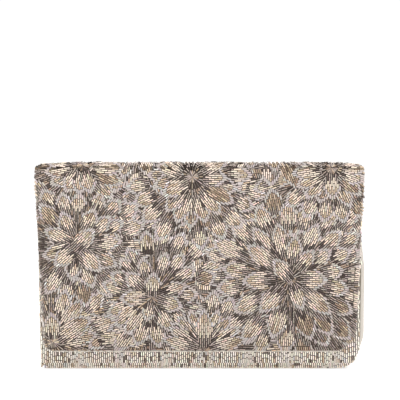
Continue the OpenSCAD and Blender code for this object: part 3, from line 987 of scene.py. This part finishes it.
def lining(name, v0, v1):
    """Satin on the inside of a panel, a little slack between its seams."""
    x, v = grid(v0, v1, LINING_INSET)
    left, right = edges(v)
    u = (x - left) / (right - left)
    slack = ripple(v * 1.3, x * 1.2) * 0.8 * np.sin(math.pi * np.clip(u, 0, 1)) ** 0.5
    slack *= np.clip(np.minimum(v - v0, v1 - v) / (8 * MM), 0, 1)
    inner, normal = strip(x, v, SKIN_T, padded=False)
    outer = strip(x, v, LINING_IN, padded=False)[0]
    lift = (slack - 0.05 * MM)[..., None]
    return shell(name, outer + normal * lift, inner + normal * lift)


def cut(v0, v1, depth, inset=LINING_INSET):
    """The flat cut of a layer from v0 to v1: its width, its length along its own depth, and its area."""
    v = np.linspace(v0, v1, 600)
    left, right = edges(v)
    width = right - left - 2 * inset
    steps = np.linalg.norm(np.diff(strip(0, v, depth, padded=False)[0], axis=0), axis=1)
    return float(width.max()), float(steps.sum()), float((steps * (width[1:] + width[:-1]) / 2).sum())


def make_panels():
    """Padding under the beads and satin inside, for each part of the strip."""
    cloth = weave_material("bead_ground_cloth", (0.27, 0.22, 0.19), (0.42, 0.36, 0.32), 0.45 * MM, 0.06 * MM,
                           rim=((0.70, 0.65, 0.59), (0.84, 0.80, 0.74)))
    satin = satin_material("lining_satin", *LINING_COLOURS)
    foot, base_end, front = START["back_foot"], START["front"], START["front"] + 0.3 * MM
    edge = 0.6 * MM
    flap_nodes = ("flap_cloth", "flap_foam", "top_cloth", "top_foam")
    pads = (
        ("flap_padding", 1 * MM, V_TOP, 1 * MM, FLAP_BEND, 0.45, flap_nodes),
        ("back_padding", V_TOP, foot - 0.1 * MM, edge, BACK_BEND, 0.5, ("back_cloth", "back_foam")),
        ("base_fabric", foot, base_end, edge, "body", None, ("base_cloth",)),
        ("front_padding", front, STRIP_L, edge, "front", 0.3, ("front_cloth", "front_foam")),
    )
    made = {}
    for name, v0, v1, inset, where, fill, nodes in pads:
        made[name] = obj = pad(name, v0, v1, inset, PAD_T if fill else CLOTH_T)
        settle(obj, cloth, "bead_cloth", where, *nodes)
    linings = (
        ("flap_satin", 1 * MM, V_TOP, FLAP_BEND, "flap_padding", ("flap_lining", "top_lining")),
        ("back_satin", V_TOP, foot, BACK_BEND, "back_padding", ("back_lining",)),
        ("base_satin", foot, base_end, "body", "base_fabric", ("base_lining",)),
        ("front_satin", front, STRIP_L, "front", "front_padding", ("front_lining",)),
    )
    for name, v0, v1, where, under, nodes in linings:
        obj = lining(name, v0, v1)
        cut(v0, v1, (LINING_IN + SKIN_T) / 2)
        settle(obj, satin, "lining", where, *nodes)
    base_cut = cut(foot, base_end, BEAD_T + CLOTH_T / 2, edge)
    return satin


def rounded(width, height, radius):
    """A rounded box as a ring of points about its middle."""
    ring = []
    for k, (sx, sy) in enumerate([(1, 1), (-1, 1), (-1, -1), (1, -1)]):
        for a in k * QUARTER + np.linspace(0, QUARTER, 4):
            x, y = sx * (width / 2 - radius), sy * (height / 2 - radius)
            ring.append((x + radius * math.cos(a), y + radius * math.sin(a)))
    return ring


def flap_outline():
    """Points down the flap's left side, along its foot and up its right side, and the way out at each."""
    rows = np.unique(np.concatenate([
        FLAP_CORNERS[1] * (1 - np.cos(np.linspace(0, QUARTER, 14))),
        FLAP_CORNERS[0] * (1 - np.cos(np.linspace(0, QUARTER, 10))),
        np.linspace(FLAP_CORNERS[1], FOLD_Z - FLAP_Z - 1.5 * MM, 40),
    ]))
    left, right = edges(rows)
    side_l = [(x, FLAP_Z + v) for x, v in zip(left, rows)][::-1]
    side_r = [(x, FLAP_Z + v) for x, v in zip(right, rows)]
    foot = [(x, FLAP_Z) for x in np.linspace(side_l[-1][0], side_r[0][0], 60)[1:-1]]
    points = np.array(side_l + foot + side_r)
    along = unit(np.gradient(points, axis=0))
    return points, np.stack([along[:, 1], -along[:, 0]], -1)


STITCH_L, STITCH_R = 2.2 * MM, 0.14 * MM
FLAP_SEAM = 2.6 * MM  # how far inside the flap's edge its seam runs


def stitch_row(name, points, up, where, thread, radius=STITCH_R):
    """Stitches end to end along a line of points, with gaps between them."""
    points = np.asarray(points, float)
    steps = np.linalg.norm(np.diff(points, axis=0), axis=1)
    s = np.concatenate([[0], np.cumsum(steps)])
    starts = np.arange(0.5 * MM, s[-1] - STITCH_L, STITCH_L * 1.4)
    ends = [
        np.stack([np.interp(q, s, points[:, k]) for k in range(3)], -1)
        for q in (starts, starts + STITCH_L)
    ]
    obj = tubes(name, ends, np.broadcast_to(np.asarray(up, float), ends[0].shape), radius)
    settle(obj, thread, "binding", where)


def make_flap_edging(thread, sewing):
    """The light binding rolled over the cut edges of the flap's cloth and lining, and its seam."""
    points, outs = flap_outline()
    depth = SKIN_T - BEAD_T
    middle = BEAD_T + depth / 2 - 0.1 * MM
    profile = [(a - 0.55 * MM, b + middle) for a, b in rounded(1.3 * MM, depth + 0.3 * MM, 0.6 * MM)]
    wobble = 0.08 * MM * np.sin(np.arange(len(points)) * 1.7)
    rings = [
        [(p[0] + out[0] * a, FLAP_Y + b, p[1] + out[1] * a) for a, b in profile]
        for p, out in zip(points + outs * wobble[:, None], outs)
    ]
    settle(loft("flap_edging", rings), thread, "binding", "flap", "flap_binding")
    seam = np.insert(points - outs * FLAP_SEAM, 1, FLAP_Y + SKIN_T + 0.1 * MM, axis=1)
    stitch_row("flap_stitches", seam, (0, 1, 0), "flap", sewing)


def make_mouth(thread, sewing):
    """The binding over the front panel's top edge, and its stitches."""
    y0, y1, z = FRONT_Y + BEAD_T, FRONT_Y + SKIN_T, MOUTH_Z
    lo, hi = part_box("mouth_binding")
    out, inner, foot = y1 + 0.4 * MM, y1 + 0.02 * MM, lo[2]
    middle, half = (y0 + out) / 2, (out - y0) / 2
    profile = [(inner, z), (inner, foot + 0.1 * MM), (y1 + 0.2 * MM, foot), (out, foot + 0.2 * MM)]
    for a in np.linspace(0, math.pi, 9):
        profile.append((middle + math.cos(a) * half, z + 0.35 * MM + 0.65 * MM * math.sin(a)))
    profile.append((y0, z))
    xs = np.linspace(lo[0], hi[0], int((hi[0] - lo[0]) / (4 * MM)) + 1)
    waver = 0.04 * MM
    rings = [
        [(x, y + waver * math.sin(k * 0.9), z + waver * math.sin(k * 0.63 + 1)) for y, z in profile]
        for k, x in enumerate(xs)
    ]
    settle(loft("mouth_edging", rings), thread, "binding", "front", "mouth_binding")
    row = [(x, out + 0.02 * MM, foot + 1.1 * MM) for x in (lo[0] + 2 * MM, hi[0] - 2 * MM)]
    stitch_row("mouth_stitches", row, (0, 1, 0), "front", sewing, 0.16 * MM)


def gusset_grid(side, inset):
    """Points of one gusset: rows up the side, columns from front to back, folded inwards like bellows."""
    lo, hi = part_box("gusset_left" if side < 0 else "gusset_right")
    curved_to, top = 22 * MM, MOUTH_Z - 0.3 * MM
    z = np.unique(np.r_[np.linspace(SKIN_T + 0.3 * MM, curved_to, 16), np.linspace(curved_to, top, 34)])
    z, q = np.meshgrid(z, np.linspace(0, 1, 33), indexing="ij")
    left, right = edges(START["back"] + FOLD_Z - z)
    edge = np.where(side < 0, -left, right) - 0.4 * MM
    rise = smooth_step((z - 8 * MM) / (50 * MM))
    fold = np.sin(math.pi * np.clip((q - 0.14) / 0.76, 0, 1)) ** 2 * (2 + 5 * rise) * MM
    # The right gusset swells out past the flap between 12 and 100 mm up
    swell = 3.9 * MM if side > 0 else 0.9 * MM
    band = np.clip((z - 12 * MM) / (14 * MM), 0, 1) * np.clip((100 * MM - z) / (25 * MM), 0, 1)
    roll = swell * (0.2 + 0.8 * band) * np.clip((z - 8 * MM) / (14 * MM), 0, 1) ** 0.7
    roll *= np.exp(-(((q - 0.1) / 0.09) ** 2)) + 0.4 * np.exp(-(((q - 0.92) / 0.07) ** 2))
    crease = 0.25 * np.sin(z * 210 + 3 * np.sin(q * 5)) + 0.3 * np.sin(6 * math.pi * q + 1.2 * np.sin(z * 38))
    x = side * (edge - fold + roll + crease * MM * np.sin(math.pi * q) - inset)
    return np.stack([x, lo[1] + (hi[1] - lo[1]) * q, z], -1)


def make_gussets():
    """Two side gussets, folded inwards, each with its own lining."""
    satin = satin_material("gusset_satin", (0.78, 0.745, 0.70), (0.91, 0.885, 0.85), across="Y")
    inner = satin_material("gusset_lining_satin", *LINING_COLOURS, across="Y")
    layers = (
        ("gusset_satin", 0.0, CLOTH_T, satin, "satin", "gusset"),
        ("gusset_inner", CLOTH_T + 0.05 * MM, 0.3 * MM, inner, "lining", "gusset_lining"),
    )
    for side, word in ((-1, "left"), (1, "right")):
        lo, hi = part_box(f"gusset_{word}")
        bend = ("body", "front", (side * hi[0], hi[1], 0.07), (side * hi[0], lo[1], 0.07))
        for name, inset, thick, material, slot, node in layers:
            a, b = gusset_grid(side, inset), gusset_grid(side, inset + thick)
            obj = shell(f"{name}_{word}", *((a, b) if side < 0 else (b, a)))
            settle(obj, material, slot, bend, f"{node}_{word}")


POCKET_HEM, POCKET_SEAM = 5 * MM, 1.1 * MM


def make_pocket(satin, thread, sewing):
    """The slip pocket on the back lining: slack cloth, a bound top and a seam round its other sides."""
    lo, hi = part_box("slip_pocket")
    width, height = hi[0] - lo[0], hi[2] - lo[2]
    wall = BACK_Y - SKIN_T
    u, w = np.meshgrid(np.linspace(0, 1, 56), np.linspace(0, 1, 34), indexing="xy")
    x, z = lo[0] + width * u, lo[2] + height * w
    free = smooth_step(np.minimum(np.minimum(u, 1 - u) * width, w * height) / (7 * MM))
    waves = 0.3 * MM * w * np.sin(x * 75 + 0.6) + 1.2 * ripple(z * 2, x * 2)
    slack = 0.12 * MM + free * (0.55 * MM + waves)
    front = np.stack([x, wall - slack - 0.4 * MM, z], -1)
    back = np.stack([x, wall - slack, z], -1)
    cloth = shell("pocket_cloth", front, back)
    settle(cloth, satin, "lining", "body", "slip_pocket")
    hem = np.flatnonzero(w[:, 0] > 1 - POCKET_HEM / height)[0] - 1
    hem_front, hem_back = front[hem:] - [0, 0.45 * MM, 0], front[hem:] - [0, 0.03 * MM, 0]
    settle(shell("pocket_edging", hem_front, hem_back), thread, "binding", "body", "pocket_binding")
    x0, x1, foot, top = lo[0] + POCKET_SEAM, hi[0] - POCKET_SEAM, lo[2] + POCKET_SEAM, hi[2] - POCKET_HEM
    seam = [(x, wall - 0.66 * MM, z) for x, z in ((x0, top), (x0, foot), (x1, foot), (x1, top))]
    stitch_row("pocket_stitches", seam, (0, -1, 0), "body", sewing)


def paint_hidden_nodes():
    """Materials for the CAD nodes that stay: boards and the snap."""
    board = grained_material("grey_board", (0.50, 0.46, 0.39), (0.62, 0.57, 0.49), (0.7, 0.95),
                             (0.7, 0.12 * MM), 0.0, (420, 4, 0.6))
    steel = grained_material("nickel_steel", (0.70, 0.68, 0.65), (0.82, 0.80, 0.77), (0.16, 0.36),
                             (0.2, 0.02 * MM), 1.0, (900, 2), cloud=120)
    magnet = grained_material("magnet", (0.2, 0.2, 0.21), (0.33, 0.33, 0.35), (0.45, 0.7),
                              (0.4, 0.03 * MM), 0.5, (1500,))
    looks = (
        (board, ("flap_board", "back_board", "base_board", "front_board")),
        (steel, ("snap_stud", "snap_stud_washer", "snap_socket", "snap_socket_washer")),
        (magnet, ("snap_magnet",)),
    )
    for material, names in looks:
        for name in names:
            paint(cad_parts[name], material)


# ---- Studio ----

def make_floor():
    """A large pale floor, brighter away from the purse, so that it fades into the background."""
    size = 12.0
    corners = [(-size, -size, 0), (size, -size, 0), (size, size, 0), (-size, size, 0)]
    floor = add_object("floor", corners, [(0, 1, 2, 3)], smooth=False)
    m = Maker("studio_floor")
    away = m.add("ShaderNodeVectorMath", {0: m.place}, operation="LENGTH").outputs["Value"]
    seen = m.add("ShaderNodeLightPath").outputs["Is Camera Ray"]
    glow = m.math("MULTIPLY", m.span(away, 0.55, 1.1, 0.12, 0.6), m.span(seen, 0.6, 1.0))
    pale = m.ramp(m.noise(3, 2), 0.2, (0.93, 0.93, 0.93), 0.8, (0.96, 0.96, 0.96))
    m.set(Base_Color=pale, Roughness=0.9, Emission_Color=(1, 1, 1, 1), Emission_Strength=glow)
    paint(floor, m.material)


def make_world():
    """White behind the purse, and a darker room for its reflections."""
    world = bpy.data.worlds.new("studio")
    bpy.context.scene.world = world
    world.use_nodes = True
    tree = world.node_tree
    tree.nodes.clear()
    mix = tree.nodes.new("ShaderNodeMixShader")
    seen = tree.nodes.new("ShaderNodeLightPath").outputs["Is Camera Ray"]
    tree.links.new(seen, mix.inputs[0])
    for k, colour, strength in ((1, (1, 0.985, 0.97, 1), 0.16), (2, (1, 1, 1, 1), 1.05)):
        shade = tree.nodes.new("ShaderNodeBackground")
        shade.inputs["Color"].default_value = colour
        shade.inputs["Strength"].default_value = strength
        tree.links.new(shade.outputs[0], mix.inputs[k])
    tree.links.new(mix.outputs[0], tree.nodes.new("ShaderNodeOutputWorld").inputs["Surface"])


def add_light(name, place, size, power):
    """A soft box that faces the purse's middle and isn't seen itself."""
    data = bpy.data.lights.new(name, "AREA")
    data.shape = "RECTANGLE"
    data.size, data.size_y = size
    data.energy = power
    light = link(bpy.data.objects.new(name, data))
    light.location = place
    light.visible_camera = False
    aim = np.array((0, 0, TOP_Z / 2)) - place
    tilt = math.atan2(math.hypot(aim[0], aim[1]), -aim[2])
    light.rotation_euler = (tilt, 0, math.atan2(aim[1], aim[0]) - QUARTER)


def make_lights():
    """Large soft boxes with dark between them, so that each bead shows a bright line with dark sides."""
    add_light("front", (-0.2, -1.8, 0.9), (3.2, 1.7), 23.4)
    add_light("left", (-1.7, -0.5, 0.8), (0.8, 1.4), 12)
    add_light("right", (1.7, -0.3, 0.8), (0.8, 1.4), 12)
    add_light("top", (0.1, 0.1, 1.8), (1.4, 1.0), 7)
    add_light("behind", (0.3, 1.9, 0.9), (3.0, 1.7), 29)


def make_camera():
    """Straight on, a little above the purse's middle, as in the photograph."""
    data = bpy.data.cameras.new("camera")
    data.sensor_width = 36
    distance, view_width = 1.6, 0.306
    data.lens = data.sensor_width * distance / view_width
    camera = link(bpy.data.objects.new("camera", data))
    camera.location = (0.0008, FLAP_Y - distance, 0.1297)
    camera.rotation_euler = (QUARTER, 0, 0)
    bpy.context.scene.camera = camera
    bpy.context.scene.view_settings.view_transform = "Standard"


make_camera()
make_world()
make_lights()
make_floor()
LIFT_V, LIFT = plump()
make_beads()
lining_satin = make_panels()
binding = weave_material("binding_cloth", (0.86, 0.82, 0.77), (0.96, 0.93, 0.89), 0.5 * MM, 0.08 * MM)
sewing = weave_material("sewing_thread", (0.66, 0.61, 0.54), (0.80, 0.75, 0.68), 0.25 * MM, 0.03 * MM)
make_flap_edging(binding, sewing)
make_mouth(binding, sewing)
make_gussets()
make_pocket(lining_satin, binding, sewing)
paint_hidden_nodes()
